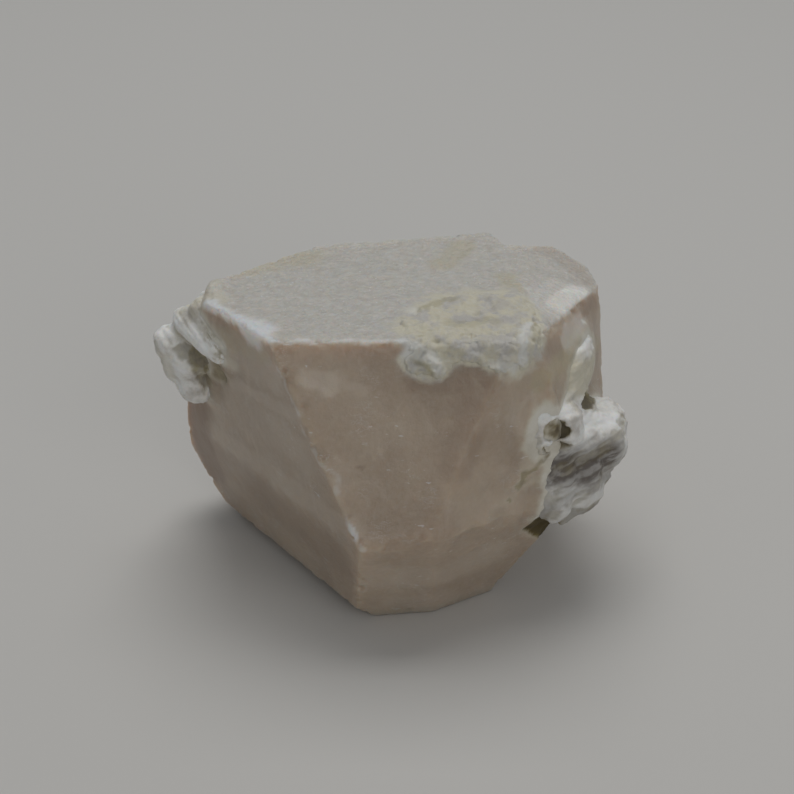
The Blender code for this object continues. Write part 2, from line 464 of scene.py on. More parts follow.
def back_step():
    """The block broken from behind the top right slope."""
    half = BACK_STEP_SIZE * MM / 2
    turn = Matrix.Rotation(math.radians(BACK_STEP_TURN), 4, "Z")
    corner = Matrix.Translation(Vector(BACK_STEP_CORNER) * MM)
    middle = Matrix.Translation((half, half, half))
    bm = bmesh.new()
    bmesh.ops.create_cube(bm, size=2 * half, matrix=corner @ turn @ middle)
    return bm


def add_lobes(lobes):
    """A bmesh of overlapping ellipsoids."""
    bm = bmesh.new()
    for centre, radii, turn in lobes:
        place = Matrix.Translation(Vector(centre) * MM)
        turned = Euler([math.radians(angle) for angle in turn]).to_matrix().to_4x4()
        size = Matrix.Diagonal((*(Vector(radii) * MM), 1.0))
        bmesh.ops.create_icosphere(bm, subdivisions=4, radius=1.0, matrix=place @ turned @ size)
    return bm


def with_strands(lobes, strands):
    """The lobes and the balls of the strands, as one list of lobes."""
    shares = np.linspace(0.0, 1.0, BALLS_A_STRAND)
    balls = []
    for start, end, start_radius, end_radius in strands:
        for share in shares:
            centre = np.array(start) * (1.0 - share) + np.array(end) * share
            radius = start_radius * (1.0 - share) + end_radius * share
            balls.append((tuple(centre), (radius, radius, radius), (0, 0, 0)))
    return lobes + tuple(balls)


def lobe_distance(points, lobes):
    """About how far outside the lobes each point lies, in metres."""
    nearest = np.full(len(points), np.inf)
    for lobe in lobes:
        size = sum(lobe[1]) / 3.0 * MM
        nearest = np.minimum(nearest, (inside_lobes(points, (lobe,)) - 1.0) * size)
    return nearest


def inside_lobes(points, lobes):
    """Below 1 inside the nearest ellipsoid and above 1 outside all of them."""
    nearest = np.full(len(points), np.inf)
    for centre, radii, turn in lobes:
        turned = Euler([math.radians(angle) for angle in turn]).to_matrix()
        local = (points / MM - np.array(centre)) @ np.array(turned)
        nearest = np.minimum(nearest, np.linalg.norm(local / np.array(radii), axis=1))
    return nearest


# Materials
class Finish:
    """Lays out the nodes of one material, which all read Object coordinates."""

    def __init__(self, name):
        self.material = bpy.data.materials.new(name)
        self.material.use_nodes = True
        self.tree = self.material.node_tree
        self.shader = self.tree.nodes["Principled BSDF"]
        self.place = self.tree.nodes.new("ShaderNodeTexCoord").outputs["Object"]

    def put(self, socket, value):
        """Set a socket to a number or colour, or link it to another socket."""
        if isinstance(value, bpy.types.NodeSocket):
            self.tree.links.new(value, socket)
        else:
            socket.default_value = value

    def fill(self, node, values):
        """Set or link several of a node's inputs by their names."""
        for name, value in values.items():
            self.put(node.inputs[name], value)

    def add(self, kind, values):
        """Add a node and fill its inputs."""
        node = self.tree.nodes.new("ShaderNode" + kind)
        self.fill(node, values)
        return node

    def stretched(self, stretch, turn):
        """Object coordinates scaled and turned."""
        angles = [math.radians(angle) for angle in turn]
        mapping = self.add("Mapping", {"Vector": self.place, "Scale": stretch, "Rotation": angles})
        return mapping.outputs["Vector"]

    def noise(self, wave, detail=4.0, rough=0.55, stretch=(1, 1, 1), turn=(0, 0, 0), warp=0.0):
        """Noise whose lumps are about wave millimetres across."""
        node = self.add("TexNoise", {
            "Vector": self.stretched(stretch, turn), "Scale": 1.0 / (wave * MM),
            "Detail": detail, "Roughness": rough, "Distortion": warp,
        })
        return node.outputs["Fac"]

    def cells(self, wave):
        """Distance to the nearest of scattered points about wave millimetres apart."""
        node = self.add("TexVoronoi", {"Vector": self.place, "Scale": 1.0 / (wave * MM)})
        return node.outputs["Distance"]

    def ramp(self, value, low, high, start=0.0, end=1.0):
        """Map low to high smoothly onto start to end."""
        node = self.add("MapRange", {
            "Value": value, "From Min": low, "From Max": high, "To Min": start, "To Max": end,
        })
        node.interpolation_type = "SMOOTHSTEP"
        return node.outputs["Result"]

    def math(self, operation, first, second):
        """One sum on two values."""
        node = self.tree.nodes.new("ShaderNodeMath")
        node.operation = operation
        self.put(node.inputs[0], first)
        self.put(node.inputs[1], second)
        return node.outputs[0]

    def mix(self, share, base, over):
        """Lay one colour over another by a share."""
        node = self.tree.nodes.new("ShaderNodeMix")
        node.data_type = "RGBA"
        self.put(node.inputs["Factor"], share)
        for socket, value in ((node.inputs[6], base), (node.inputs[7], over)):
            self.put(socket, value if isinstance(value, bpy.types.NodeSocket) else (*value, 1.0))
        return node.outputs[2]

    def mask(self, name):
        """A number kept on the piece's vertices."""
        node = self.tree.nodes.new("ShaderNodeAttribute")
        node.attribute_name = name
        return node.outputs["Fac"]

    def bump(self, height, depth, below=None):
        """Fine relief: height from 0 to 1 stands for a depth in millimetres."""
        node = self.add("Bump", {"Strength": 1.0, "Distance": depth * MM, "Height": height})
        if below is not None:
            self.put(node.inputs["Normal"], below)
        return node.outputs["Normal"]


def matrix_colour(finish, settings):
    """Colour of the matrix: silky white with grey, yellowish and clay-brown parts."""
    patches = finish.ramp(finish.noise(2.6, 5.0, 0.6), 0.46, 0.70)
    colour = finish.mix(patches, settings.white, settings.grey)
    yellow = finish.ramp(finish.noise(3.4, 4.0, 0.6, turn=(20, 40, 10)), 0.50, 0.66)
    colour = finish.mix(finish.math("MULTIPLY", yellow, 0.6), colour, settings.yellow)
    grain = finish.ramp(finish.noise(0.35, 4.0, 0.7), 0.30, 0.75)
    colour = finish.mix(finish.math("MULTIPLY", grain, 0.22), colour, settings.grey)
    colour = finish.mix(finish.mask("cream"), colour, settings.cream)
    # Painted shade: dark mauve-grey under the right lump's shoulder and towards its bottom.
    colour = finish.mix(finish.mask("painted_matrix_shade"), colour, settings.painted_matrix_shade)
    # Whitest matrix, and painted light on the right lump's lit shoulder and lower bulge.
    colour = finish.mix(finish.mask("snow_and_painted_light"), colour, settings.snow_and_painted_light)
    clay = finish.mix(finish.ramp(finish.noise(0.9, 4.0), 0.35, 0.65), settings.clay, settings.olive)
    # Clay darker at the bottom of the hollows: real clay with painted shade.
    clay = finish.mix(finish.mask("deep_clay_and_shade"), clay, settings.deep_clay_and_shade)
    return finish.mix(finish.mask("clay"), colour, clay)


def crust_colour(finish, settings):
    """Colour of the crust: pale yellow grains with grey, white and olive spots."""
    patches = finish.ramp(finish.noise(1.8, 5.0, 0.65), 0.44, 0.64)
    colour = finish.mix(patches, settings.yellow, settings.grey)
    grain = finish.ramp(finish.noise(0.4, 4.0, 0.7), 0.30, 0.75)
    colour = finish.mix(finish.math("MULTIPLY", grain, 0.35), colour, settings.white)
    colour = finish.mix(finish.mask("grey"), colour, settings.grey)
    colour = finish.mix(finish.mask("olive"), colour, settings.olive)
    return finish.mix(finish.mask("white"), colour, settings.white)


def topaz_finish(settings, matrix, crust):
    """Milky, warm and faintly lit from within, frosted, crusted and chalky where its masks say."""
    finish = Finish("milky_topaz")
    body = finish.mix(
        finish.ramp(finish.noise(8.0, 3.0), 0.35, 0.65), settings.body, settings.deep
    )
    veils = finish.ramp(finish.noise(3.0, 6.0, 0.62, stretch=(1.0, 1.0, 0.5), warp=1.2), 0.52, 0.72)
    colour = finish.mix(finish.math("MULTIPLY", veils, 0.40), body, settings.veil_and_painted_light)
    grain = finish.ramp(finish.noise(0.45, 3.0, 0.6), 0.3, 0.7)
    colour = finish.mix(finish.math("MULTIPLY", grain, 0.20), colour, settings.veil_and_painted_light)
    # Painted glints: thin bright threads and scattered flecks on the body, in the colour of the
    # bruises.
    glint_threads = finish.noise(1.7, 5.0, 0.7, stretch=(1.0, 1.0, 2.6), turn=(12, -18, 0), warp=0.8)
    glint_threads = finish.math("ABSOLUTE", finish.math("SUBTRACT", glint_threads, 0.5), 0.0)
    glint_threads = finish.ramp(glint_threads, 0.012, 0.0)
    keep = finish.ramp(finish.noise(3.4, 2.0), 0.53, 0.66)
    glint_threads = finish.math("MULTIPLY", glint_threads, finish.math("MULTIPLY", keep, 0.55))
    colour = finish.mix(glint_threads, colour, settings.bruise_and_glint)
    glint_flecks = finish.noise(0.5, 2.0, 0.5, stretch=(0.6, 0.6, 1.8), turn=(0, 12, 0))
    glint_flecks = finish.ramp(glint_flecks, 0.67, 0.73)
    clusters = finish.ramp(finish.noise(5.0, 2.0), 0.50, 0.62)
    glint_flecks = finish.math("MULTIPLY", glint_flecks, finish.math("MULTIPLY", clusters, 0.6))
    colour = finish.mix(glint_flecks, colour, settings.bruise_and_glint)
    frost = finish.mask("frost")
    sugar = finish.ramp(finish.noise(0.8, 6.0, 0.75), 0.30, 0.70)
    frosted = finish.mix(sugar, settings.frost, settings.frost_low)
    # Painted glints on the frosted top.
    glints = finish.ramp(finish.cells(0.48), 0.20, 0.10)
    glints = finish.math("MULTIPLY", glints, finish.ramp(finish.noise(0.9, 2.0), 0.50, 0.58))
    frosted = finish.mix(finish.math("MULTIPLY", glints, 0.8), frosted, settings.bruise_and_glint)
    colour = finish.mix(frost, colour, frosted)
    # Paler veils, and painted light on the upper left face.
    colour = finish.mix(finish.mask("veil_and_painted_light"), colour, settings.veil_and_painted_light)
    # Brown patches in the body, and painted shade on the left end, the lower left faces and the pits
    # of the broken back.
    colour = finish.mix(finish.mask("shade"), colour, settings.shade)
    colour = finish.mix(finish.mask("stain"), colour, settings.stain)
    # Painted highlights: sheen, streaks and glints on the bright facets.
    colour = finish.mix(finish.mask("gleam"), colour, settings.gleam)
    colour = finish.mix(finish.mask("chalk"), colour, matrix_colour(finish, matrix))
    colour = finish.mix(finish.mask("crumb"), colour, crust_colour(finish, crust))
    colour = finish.mix(finish.mask("wear"), colour, settings.bruise_and_glint)
    rough = finish.ramp(frost, 0.0, 1.0, 0.34, 0.58)
    dull = finish.math("MULTIPLY", finish.mask("clay"), 0.95)
    etch = finish.bump(finish.noise(0.55, 6.0, 0.7), 0.10)
    crystals = finish.math("MULTIPLY", finish.cells(0.42), frost)
    cover = finish.math("MAXIMUM", finish.mask("chalk"), finish.mask("crumb"))
    finish.fill(finish.shader, {
        "Base Color": colour,
        "Roughness": finish.math("MAXIMUM", rough, dull),
        "Normal": finish.bump(crystals, 0.12, below=etch),
        "IOR": 1.61,
        "Subsurface Weight": finish.ramp(cover, 0.0, 0.7, 1.0, 0.0),
        "Subsurface Radius": (1.0, 0.7, 0.5),
        "Subsurface Scale": 3.5 * MM,
    })
    return finish.material


def dull_finish(name, colour, grain, depth):
    """Dull and chalky, with fine relief; colour lays out the nodes of its colour."""
    finish = Finish(name)
    finish.fill(finish.shader, {
        "Base Color": colour(finish),
        "Roughness": 0.65,
        "Normal": finish.bump(finish.noise(*grain), depth),
        "Subsurface Weight": 0.5,
        "Subsurface Radius": (1.0, 0.85, 0.7),
        "Subsurface Scale": 0.25 * MM,
    })
    return finish.material


def matrix_finish(settings):
    """Dull silky matrix."""
    return dull_finish(
        "white_matrix", lambda finish: matrix_colour(finish, settings), (0.4, 6.0, 0.7), 0.07
    )


def crust_finish(settings):
    """Dull granular crust."""
    return dull_finish(
        "pale_crust", lambda finish: crust_colour(finish, settings), (0.45, 6.0, 0.75), 0.12
    )


# Pieces
def seat_piece(piece, node, material):
    """Give a piece its finish and put it in the place of its frame node."""
    piece.data.materials.clear()
    piece.data.materials.append(material)
    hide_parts(node)
    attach(piece, BODY)


# Lines on the crystal, as points in millimetres.
RIDGE_BRUISE = ((-15.9, -1.8, 27.4), (-13.0, -5.8, 27.7), (-10.6, -9.2, 27.9))
RIDGE_LINE = ((-10.4, -9.7, 27.9), (-3.8, -9.9, 27.9), (0.6, -9.9, 28.0))
FRONT_EDGE = (
    (-10.5, -9.6, 27.7), (-9.6, -10.2, 25.0), (-8.2, -11.2, 22.0), (-7.3, -11.8, 19.4),
    (-5.3, -13.1, 17.3), (-3.9, -14.4, 12.5), (-2.8, -15.1, 10.9),
)

# What shows in and on the crystal: mask, strength, radius in millimetres and a path.
CRYSTAL_MARKS = (
    ("wear", 0.80, 1.0, RIDGE_BRUISE),
    ("wear", 0.90, 1.9, ((-12.2, -6.6, 27.8), (-11.4, -7.8, 27.8))),
    ("wear", 0.45, 0.32, RIDGE_LINE),
    ("wear", 0.30, 0.28, FRONT_EDGE),
    ("wear", 0.70, 0.50, ((-3.8, -14.5, 12.6), (-3.5, -14.8, 11.8))),
    ("veil_and_painted_light", 0.85, 1.1, ((-7.2, -10.8, 25.0), (-5.3, -10.9, 24.6))),
    ("veil_and_painted_light", 0.45, 0.6, ((-4.8, -10.9, 24.9), (-2.6, -11.1, 24.0))),
    ("veil_and_painted_light", 0.45, 1.0, ((-14.4, -2.4, 19.9), (-11.1, -7.0, 20.8), (-8.2, -11.0, 21.5))),
    ("veil_and_painted_light", 0.40, 1.6, ((-18.6, 5.6, 11.9), (-11.2, -4.3, 12.1), (-3.8, -14.5, 12.6))),
    ("veil_and_painted_light", 0.45, 0.45, ((10.0, -10.2, 19.7), (10.2, -10.0, 21.9), (11.4, -9.2, 23.0))),
    ("veil_and_painted_light", 0.15, 1.6, ((5.0, -13.2, 13.6), (9.6, -10.8, 12.4))),
    ("shade", 0.35, 2.2, ((6.2, -11.8, 23.2), (5.0, -13.0, 18.0))),
    ("shade", 0.35, 1.7, ((1.5, -10.9, 25.2), (7.0, -11.1, 24.6))),
    ("shade", 0.55, 0.6, ((7.2, -11.1, 24.6), (7.4, -11.1, 24.5))),
    ("shade", 0.45, 0.35, ((-3.0, -13.0, 17.8), (-2.9, -13.0, 17.7))),
    ("stain", 0.30, 1.8, ((-13.6, -4.0, 25.6), (-11.4, -8.0, 26.2))),
    ("stain", 0.35, 2.6, ((-13.5, 5.5, 27.4), (-8.0, 8.5, 27.0))),
    ("stain", 0.40, 1.6, ((6.0, 11.0, 26.6), (4.0, 6.5, 26.9))),
    ("shade", 0.50, 0.22, ((9.1, 2.2, 27.4), (9.7, -1.6, 27.5), (10.9, -4.4, 27.4))),
    ("stain", 0.45, 1.3, ((9.4, 3.8, 27.2), (10.4, -0.6, 27.3))),
    ("stain", 0.45, 1.4, ((14.6, -4.4, 23.8), (11.6, -8.9, 23.6))),
    ("stain", 0.45, 0.9, ((14.7, -3.3, 24.5), (17.9, 3.6, 20.3))),
    # Painted shade: the left end and the lower left faces, which stand away from the light, kept
    # darker.
    ("shade", 0.35, 3.4, ((-17.0, 2.6, 8.0), (-11.0, -4.6, 7.6), (-5.5, -11.6, 7.4))),
    ("shade", 0.85, 3.2, ((-18.6, 4.0, 15.0), (-18.4, 5.8, 10.4), (-17.2, 6.2, 6.0))),
    ("veil_and_painted_light", 0.50, 1.6, ((17.8, 4.6, 22.0), (18.3, 4.6, 18.6))),
    # Painted light: the upper left face paler than the lower, as the light falls on it.
    ("veil_and_painted_light", 0.50, 2.8, ((-16.4, -1.0, 23.6), (-13.0, -5.0, 24.2), (-10.6, -8.4, 24.4))),
    ("veil_and_painted_light", 0.25, 2.6, ((-14.8, -2.6, 18.0), (-8.4, -10.4, 17.6))),
    ("veil_and_painted_light", 0.34, 2.6, ((-1.6, -13.2, 6.4), (4.4, -12.2, 5.4), (8.0, -9.4, 6.4))),
    ("veil_and_painted_light", 0.30, 2.2, ((-0.4, -11.2, 2.0), (4.6, -9.6, 1.4))),
    ("shade", 0.40, 1.3, ((12.6, -7.4, 26.0), (13.7, -5.6, 24.8))),
    ("shade", 0.22, 1.5, ((13.4, 11.3, 25.9), (14.9, 9.8, 25.7), (17.0, 6.2, 25.4))),
    ("clay", 0.75, 0.50, ((12.5, -9.0, 16.7), (10.8, -10.1, 15.1), (9.6, -10.9, 13.4))),
    ("chalk", 0.30, 1.0, ((12.0, -9.2, 19.5), (11.2, -9.8, 16.8), (10.8, -10.0, 14.6))),
    ("clay", 0.60, 0.5, ((-16.2, -0.9, 25.4), (-15.6, -1.9, 24.5), (-14.5, -3.5, 22.9))),
    ("clay", 0.65, 0.8, ((-16.4, -1.4, 20.9), (-15.6, -2.6, 19.9))),
    ("chalk", 0.70, 1.5, ((-16.9, 0.6, 26.2), (-15.2, -1.4, 26.9))),
    ("chalk", 0.50, 1.2, ((-15.0, -2.6, 24.9), (-14.0, -4.0, 22.6))),
)
# The same, but each stops at the edges of one face, which is named last.
FACET_MARKS = (
    # Painted highlights on the bright facet and the right shoulder: a broad sheen, a streak and a
    # glint.
    ("gleam", 0.30, 3.0, ((12.2, -1.0, 26.8), (14.6, 2.6, 26.1)), "bright facet"),
    ("gleam", 0.75, 1.5, ((13.6, -0.8, 26.5), (14.6, 1.4, 26.2), (15.9, 3.4, 25.7)), "bright facet"),
    ("gleam", 1.00, 0.45, ((14.6, 2.6, 26.1), (16.2, 3.4, 25.6)), "bright facet"),
    ("shade", 0.45, 1.3, ((15.6, 0.8, 25.6), (17.2, 3.6, 24.4)), "right shoulder"),
    ("gleam", 0.42, 1.5, ((14.2, -3.4, 24.7), (16.0, 0.0, 24.2)), "right shoulder"),
    ("gleam", 1.00, 0.28, ((15.9, 0.2, 24.3), (16.2, 0.7, 24.1)), "right shoulder"),
    ("stain", 0.75, 0.8, ((13.9, -4.6, 23.6), (17.2, 1.6, 22.3)), "right shoulder"),
)
# Marks on the crust and the crystal round it, laid out as the crystal's are.
CRUST_MARKS = (
    ("grey", 1.00, 1.1, ((5.4, -6.0, 27.7), (6.4, -6.0, 27.7))),
    ("grey", 0.70, 0.9, ((8.7, -3.2, 27.4), (8.8, -2.9, 27.4))),
    ("grey", 0.55, 0.9, ((8.4, -6.6, 27.6), (9.2, -5.9, 27.5))),
    ("grey", 0.60, 1.1, ((7.5, -9.2, 27.5), (8.8, -9.6, 27.2))),
    ("olive", 0.40, 0.8, ((2.3, -3.6, 27.5), (3.2, -2.2, 27.4), (4.5, -1.5, 27.4))),
    ("olive", 0.28, 0.9, ((4.4, -6.6, 27.6), (6.2, -7.0, 27.6), (7.9, -6.0, 27.6))),
    ("olive", 0.60, 0.45, ((2.0, -9.1, 27.8), (2.1, -9.0, 27.8))),
    ("olive", 0.70, 0.6, ((1.5, -10.3, 26.9), (2.5, -10.8, 25.7))),
    ("olive", 0.45, 0.6, ((10.6, -8.6, 27.2), (11.4, -6.0, 27.3))),
    ("white", 0.95, 0.65, ((10.9, -6.2, 27.5), (10.3, -9.3, 27.5), (10.0, -9.9, 26.1))),
    # A painted glint on a front lobe of the crust.
    ("white", 1.00, 0.30, ((8.8, -10.5, 25.8), (8.9, -10.5, 25.6))),
    ("white", 0.80, 1.0, ((0.6, -10.1, 27.6), (3.2, -10.8, 26.4))),
    ("white", 0.60, 0.9, ((8.2, -10.5, 26.2), (9.2, -10.5, 25.8))),
    ("white", 0.50, 0.7, ((0.8, -3.4, 27.5), (1.6, -4.0, 27.5))),
)
# Masks that the marks of the crystal draw.
CRYSTAL_MASKS = ("wear", "veil_and_painted_light", "shade", "stain", "gleam")
# Waxy cream-coloured parts of the matrix.
CREAM_MARKS = (
    ("cream", 0.90, 2.4, ((15.0, -4.8, 21.6), (16.4, -1.2, 20.4))),
    ("cream", 0.55, 1.3, ((-16.7, -0.3, 25.7), (-14.6, -3.2, 24.3))),
    ("cream", 0.60, 1.2, ((12.0, -9.4, 17.4), (12.8, -8.8, 15.4))),
    ("cream", 0.50, 1.4, ((-20.2, 0.4, 21.4), (-20.0, 0.6, 19.6))),
)
# The matrix's whitest parts, with painted light on the right lump's shoulder and lower bulge.
SNOW_AND_LIGHT_MARKS = (
    ("snow_and_painted_light", 0.90, 1.5, ((15.4, -5.8, 18.0), (17.6, -4.0, 17.2), (19.2, -2.6, 16.4))),
    ("snow_and_painted_light", 0.60, 1.5, ((13.8, -8.6, 11.0), (15.6, -7.2, 10.8), (17.4, -4.6, 10.2))),
    ("snow_and_painted_light", 0.60, 1.1, ((-17.6, -0.8, 24.4), (-15.6, -3.2, 23.2))),
)
# Masks that the marks of the crust draw.
CRUST_MASKS = ("grey", "olive", "white")
# Shallow scars on the crystal: centre, radius and depth in millimetres.
SCARS = (
    ((6.2, -12.2, 10.4), 2.6, 0.35),
    ((8.6, -11.0, 11.8), 1.8, 0.30),
    ((-6.4, -10.9, 24.8), 1.5, 0.12),
    ((-12.6, -5.6, 12.6), 3.4, 0.20),
    ((-16.6, 3.0, 14.2), 3.0, 0.25),
    ((1.0, -12.4, 22.0), 4.0, 0.15),
    ((6.0, 15.0, 14.0), 5.0, 0.40),
    ((-8.0, 13.0, 18.0), 4.0, 0.35),
    ((14.0, 10.0, 14.0), 4.0, 0.40),
)


def mark(points, marks, name):
    """One mask from a table of marks."""
    values = np.zeros(len(points))
    for mask, strength, radius, path in marks:
        if mask == name:
            reach = near_line(points, path, radius * MARK_FADE)
            values = np.maximum(values, strength * rise(0.10, 0.70, reach))
    return values


def face_share(depths, place):
    """1 on one face of the crystal, falling to 0 across its edges."""
    others = np.delete(depths, place, axis=1).min(axis=1)
    return rise(-0.10 * MM, 0.20 * MM, others - depths[:, place])


def top_frost(depths, bite):
    """1 on the etched top, falling to 0 over its edges."""
    names = list(CRYSTAL_FACES)
    tops = [names.index(name) for name in TOP_FACES]
    others = [place for place in range(len(names)) if place not in tops]
    lift = depths[:, tops].min(axis=1) - depths[:, others].min(axis=1)
    return rise(0.6 * MM, -0.2 * MM, lift + 0.15 * MM * bite)


def back_breaks(points, frost):
    """Ledges and pits of the broken back, each from 0 to 1."""
    behind = rise(BACK_START, BACK_FULL, points[:, 1]) * (1.0 - frost)
    ledges = rise(-0.04, 0.05, clouds(points * (1.0, 1.0, 1.6), *LEDGES)) * behind
    pits = rise(0.25, 0.45, clouds(points, *PITS)) * behind
    return ledges, pits


def crystal_relief(points, frost, bite, breaks, settings):
    """How far the crystal's surface stands out, in metres."""
    gap, bend = edge_gaps(points)
    ledges, pits = breaks
    swell = clouds(points, *SWELL)
    etch = clouds(points, *ETCH)
    chips = rise(NICK_REACH, 0.0, gap) * bend * rise(0.0, 0.6, bite)
    push = SWELL_HEIGHT * MM * swell + (ETCH_HEIGHT + FROST_HEIGHT * frost) * MM * etch
    push = push - settings.chip * chips
    for centre, radius, depth in SCARS:
        push = push - depth * MM * near_spot(points, centre, radius)
    return push - settings.ledge * ledges - 0.5 * settings.ledge * pits


def store_marks(piece, loose, depths, breaks):
    """Keep the masks that the tables of marks draw on the crystal."""
    names = list(CRYSTAL_FACES)
    ledges, pits = breaks
    # Paler ledges, and painted shade in the pits of the broken back.
    broken_marks = {"veil_and_painted_light": 0.28 * ledges, "shade": 0.10 * pits}
    for name in CRYSTAL_MASKS:
        values = mark(loose, CRYSTAL_MARKS, name)
        if name in broken_marks:
            values = np.maximum(values, broken_marks[name])
        for facet_mark in FACET_MARKS:
            share = face_share(depths, names.index(facet_mark[-1]))
            values = np.maximum(values, share * mark(loose, (facet_mark[:-1],), name))
        store_mask(piece, name, values)
    for name in CRUST_MASKS:
        store_mask(piece, name, mark(loose, CRUST_MARKS, name))


def sculpt_crystal(piece, settings):
    """Wear the crystal's edges, etch its faces and keep the masks that its finish reads."""
    broken = rise(1.15, 0.75, inside_lobes(read_points(piece), CRUST_SWELLINGS))
    soften(piece, CRYSTAL_RELAX, broken)
    piece.vertex_groups.clear()
    points = read_points(piece)
    normals = read_normals(piece)
    depths = face_depths(points)
    loose = warped(points, *CRYSTAL_WARP)
    bite = clouds(points, *BITE)
    frost = top_frost(depths, bite)
    breaks = back_breaks(points, frost)
    push = crystal_relief(points, frost, bite, breaks, settings)

    beside = np.minimum(
        lobe_distance(points, with_strands(LEFT_LOBES, LEFT_STRANDS)),
        lobe_distance(points, with_strands(RIGHT_LOBES, RIGHT_STRANDS)),
    )
    push = push + settings.fillet * rise(FILLET_REACH, 0.0, beside)
    sunk, clay, deep_clay_and_shade = pocket_relief(loose, LEFT_POCKETS + RIGHT_POCKETS)
    push = push - 0.6 * sunk
    ground = rise(0.0, FOOT_HEIGHT, points[:, 2])
    moved = points + normals * (push * ground)[:, None]
    moved[:, 2] = np.maximum(moved[:, 2], 0.0)
    write_points(piece, moved)

    clay = np.maximum(clay, mark(loose, CRYSTAL_MARKS, "clay"))
    halo = 0.9 * rise(CHALK_REACH, 0.0, beside + 0.30 * MM * bite)
    chalk = np.maximum(halo, mark(loose, CRYSTAL_MARKS, "chalk"))
    waxy = 0.55 + 0.30 * rise(0.0, 0.4 * MM, beside)
    store_mask(piece, "frost", frost)
    store_mask(piece, "crumb", rise(1.32, 1.0, inside_lobes(loose, CRUST_SWELLINGS) + 0.10 * bite))
    store_mask(piece, "chalk", np.maximum(chalk, clay))
    store_mask(piece, "clay", clay)
    store_mask(piece, "deep_clay_and_shade", deep_clay_and_shade)
    store_mask(piece, "cream", np.maximum(mark(loose, CREAM_MARKS, "cream"), waxy))
    store_marks(piece, loose, depths, breaks)


def drawn_out(points, direction, share):
    """Points squeezed along a direction, so that noise on them runs out into fibres."""
    along = np.array(direction) / np.linalg.norm(direction)
    return points - share * np.outer(points @ along, along)


def pocket_relief(points, pockets):
    """How deep the pockets reach in metres, how much clay they hold, and how much painted shade
    darkens the clay at their bottoms.
    """
    depth = np.zeros(len(points))
    clay = np.zeros(len(points))
    deep_clay_and_shade = np.zeros(len(points))
    for path, radius, sink, strength in pockets:
        hollow = near_line(points, path, radius * POCKET_FADE)
        depth = np.maximum(depth, sink * MM * rise(0.15, 0.7, hollow))
        clay = np.maximum(clay, strength * rise(0.14, 0.50, hollow))
        # Painted shade: the clay darker at the bottom of each full pocket.
        deep_clay_and_shade = np.maximum(deep_clay_and_shade, 0.85 * rise(0.6, 1.0, strength) * rise(0.25, 0.75, hollow))
    return depth, clay, deep_clay_and_shade


def sculpt_matrix(piece, pockets, direction, settings):
    """Draw a lump of matrix out into fibres, hollow its pockets and mark its clay."""
    points = root_back(read_points(piece), ROOT_DEPTH)
    write_points(piece, points)
    normals = read_normals(piece)
    fibrous = drawn_out(points, direction, 0.85)
    folds = clouds(fibrous, *FOLDS)
    fibres = clouds(fibrous, *FIBRES)
    crumbs = clouds(points, *CRUMBS)
    loose = warped(points, *MATRIX_WARP)
    cream = mark(loose, CREAM_MARKS, "cream")
    push = settings.folds * folds * (1.0 - 0.4 * cream) + settings.fibres * fibres
    push = push + CRUMB_HEIGHT * MM * crumbs
    depth, clay, deep_clay_and_shade = pocket_relief(loose, pockets)
    push = push - depth
    clay = np.maximum(clay, 0.35 * rise(0.2, 0.6, -folds) * (1.0 - 0.8 * cream))
    streaks = mark(loose, STREAK_MARKS, "clay") * rise(0.1, 0.5, -fibres)
    clay = np.maximum(clay, streaks)
    points = points + normals * push[:, None]
    points[:, 2] = np.maximum(points[:, 2], 0.0)
    write_points(piece, points)
    store_mask(piece, "clay", clay)
    store_mask(piece, "deep_clay_and_shade", deep_clay_and_shade)
    # Painted shade: the right lump darker towards the bottom and under its shoulder, streaked along
    # its fibres.
    low = 0.60 * rise(14.5 * MM, 11.0 * MM, points[:, 2]) * (points[:, 0] > 0.0)
    painted_matrix_shade = near_line(points, PAINTED_SHADE_PATH, PAINTED_SHADE_REACH) * (0.75 + 0.5 * rise(0.5, -0.5, fibres))
    store_mask(piece, "painted_matrix_shade", np.maximum(painted_matrix_shade, low))
    store_mask(piece, "cream", cream)
    store_mask(piece, "snow_and_painted_light", mark(loose, SNOW_AND_LIGHT_MARKS, "snow_and_painted_light"))


def crust_skin(crystal):
    """A copy of the crystal's surface where the crust lies, in finer cells."""
    field = inside_lobes(read_points(crystal), CRUST_SWELLINGS)
    bm = bmesh.new()
    bm.from_mesh(crystal.data)
    bm.verts.ensure_lookup_table()
    bare = [vert for vert in bm.verts if field[vert.index] > 1.08 or vert.co.z < 20.0 * MM]
    bmesh.ops.delete(bm, geom=bare, context="VERTS")
    bmesh.ops.subdivide_edges(bm, edges=bm.edges[:], cuts=1, use_grid_fill=True)
    skin = link_piece("crust", bm)
    skin.data.attributes.remove(skin.data.attributes["crumb"])
    skin.data.shade_smooth()
    return skin


def sculpt_crust(piece, settings):
    """Raise the crust out of the crystal's surface, thin out its rim and roughen it."""
    soften(piece, CRUST_RELAX)
    outer = read_points(piece)
    normals = read_normals(piece)
    grains = clouds(outer, *GRAINS)
    lumps = clouds(outer, *LUMPS)
    loose = warped(outer, *CRUST_WARP)
    field = inside_lobes(loose, CRUST_SWELLINGS)
    inner = rise(1.02, 0.80, field)
    stand = settings.stand
    for centre, radius, height in CRUST_KNOBS:
        stand = stand + height * MM * near_spot(loose, centre, radius)
    for centre, radius, depth in CRUST_HOLLOWS:
        stand = stand - depth * MM * near_spot(loose, centre, radius)
    stand = stand + settings.grain * grains + LUMP_HEIGHT * MM * lumps
    stand = stand * inner - RIM_SINK * MM * (1.0 - inner)

    wall = piece.modifiers.new("wall", "SOLIDIFY")
    wall.thickness = CRUST_WALL
    wall.offset = -1.0
    apply_modifiers(piece)
    points = read_points(piece)
    points[:len(outer)] += normals * stand[:, None]
    write_points(piece, points)
    piece.data.shade_smooth()


